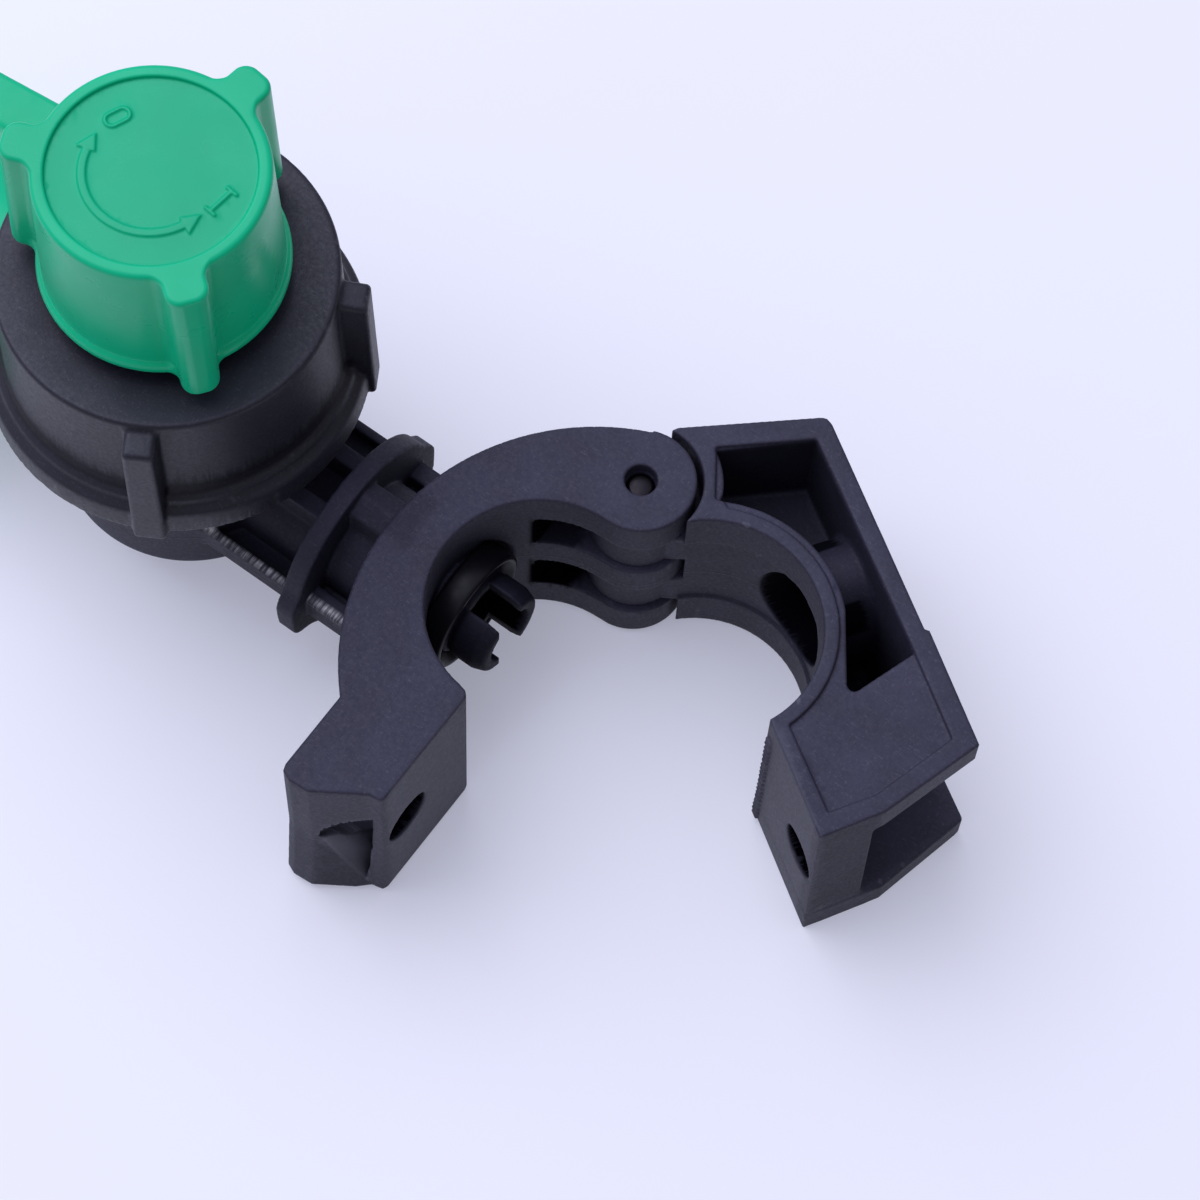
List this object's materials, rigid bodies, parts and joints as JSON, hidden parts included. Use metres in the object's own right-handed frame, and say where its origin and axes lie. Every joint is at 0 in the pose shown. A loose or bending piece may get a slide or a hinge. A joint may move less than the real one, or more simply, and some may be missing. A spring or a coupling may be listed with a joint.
{
  "type": "boom sprayer nozzle body",
  "caption": "Sprayer nozzle body with a hinged pipe clamp, a diaphragm check valve under a shut-off knob, and a bayonet nozzle cap.",
  "frame": {"origin": "middle of the footprint of the whole part with its clamp open, at its lowest point", "axes": "+X runs from the nozzle end through the neck to the clamp, +Y towards the clamp's hinge, +Z along the clamped pipe and up the valve's axis"},
  "size_m": [0.143, 0.0662, 0.0707],
  "materials": {
    "body_plastic": "black glass-filled plastic, matt, with fine pale fibres and flash along its parting lines",
    "knob_plastic": "green moulded plastic, satin gloss",
    "pin_steel": "stainless pin with a sheared end",
    "seal_rubber": "black rubber, slightly shiny",
    "bonnet_plastic": "black acetal",
    "plunger_plastic": "natural acetal",
    "spring_steel": "drawn stainless wire",
    "strainer_plastic": "natural polypropylene",
    "strainer_steel": "woven stainless mesh",
    "tip_plastic": "blue acetal, the usual colour code of a spray tip",
    "tip_ceramic": "white ceramic, smooth"
  },
  "bodies": {
    "valve_body": {"body": "body_plastic", "inlet_seal": "seal_rubber", "hinge_pin": "pin_steel", "ring_nut": "body_plastic", "valve_bonnet": "bonnet_plastic", "valve_diaphragm": "seal_rubber", "valve_spring": "spring_steel", "strainer_frame": "strainer_plastic", "strainer_mesh": "strainer_steel"},
    "hinged_jaw": {"clamp_jaw": "body_plastic"},
    "stem": {"knob_spindle": "bonnet_plastic"},
    "knob": {"shutoff_knob": "knob_plastic"},
    "plunger": {"valve_plunger": "plunger_plastic"},
    "cap": {"nozzle_cap": "knob_plastic", "tip_gasket": "seal_rubber", "spray_tip": "tip_plastic", "orifice_insert": "tip_ceramic"}
  },
  "joints": [
    {"name": "clamp_hinge", "type": "hinge", "parent": "valve_body", "child": "hinged_jaw", "pos_m": [0.02542, 0.01561, 0.0159], "axis": [0, 0, 1], "range_deg": [-56.8, 30]},
    {"name": "stem_travel", "type": "slide", "parent": "valve_body", "child": "stem", "axis": [0, 0, 1], "range_m": [-0.0018, 0]},
    {"name": "knob_turn", "type": "hinge", "parent": "stem", "child": "knob", "pos_m": [-0.0221, -0.00234, 0.0609], "axis": [0, 0, 1], "range_deg": [-150, 0]},
    {"name": "plunger_lift", "type": "slide", "parent": "valve_body", "child": "plunger", "axis": [0, 0, 1], "range_m": [0, 0.0008], "stiffness_N_per_m": 2000, "springref_m": -0.0025, "deforming": ["valve_spring", "valve_diaphragm"]},
    {"name": "cap_turn", "type": "hinge", "parent": "valve_body", "child": "cap", "pos_m": [-0.0559, -0.00234, 0.0159], "axis": [1, 0, 0], "range_deg": [0, 90]}
  ],
  "couplings": [
    {"joint": "knob_turn", "follows": "stem_travel", "rad_per_m": 1454.4}
  ]
}
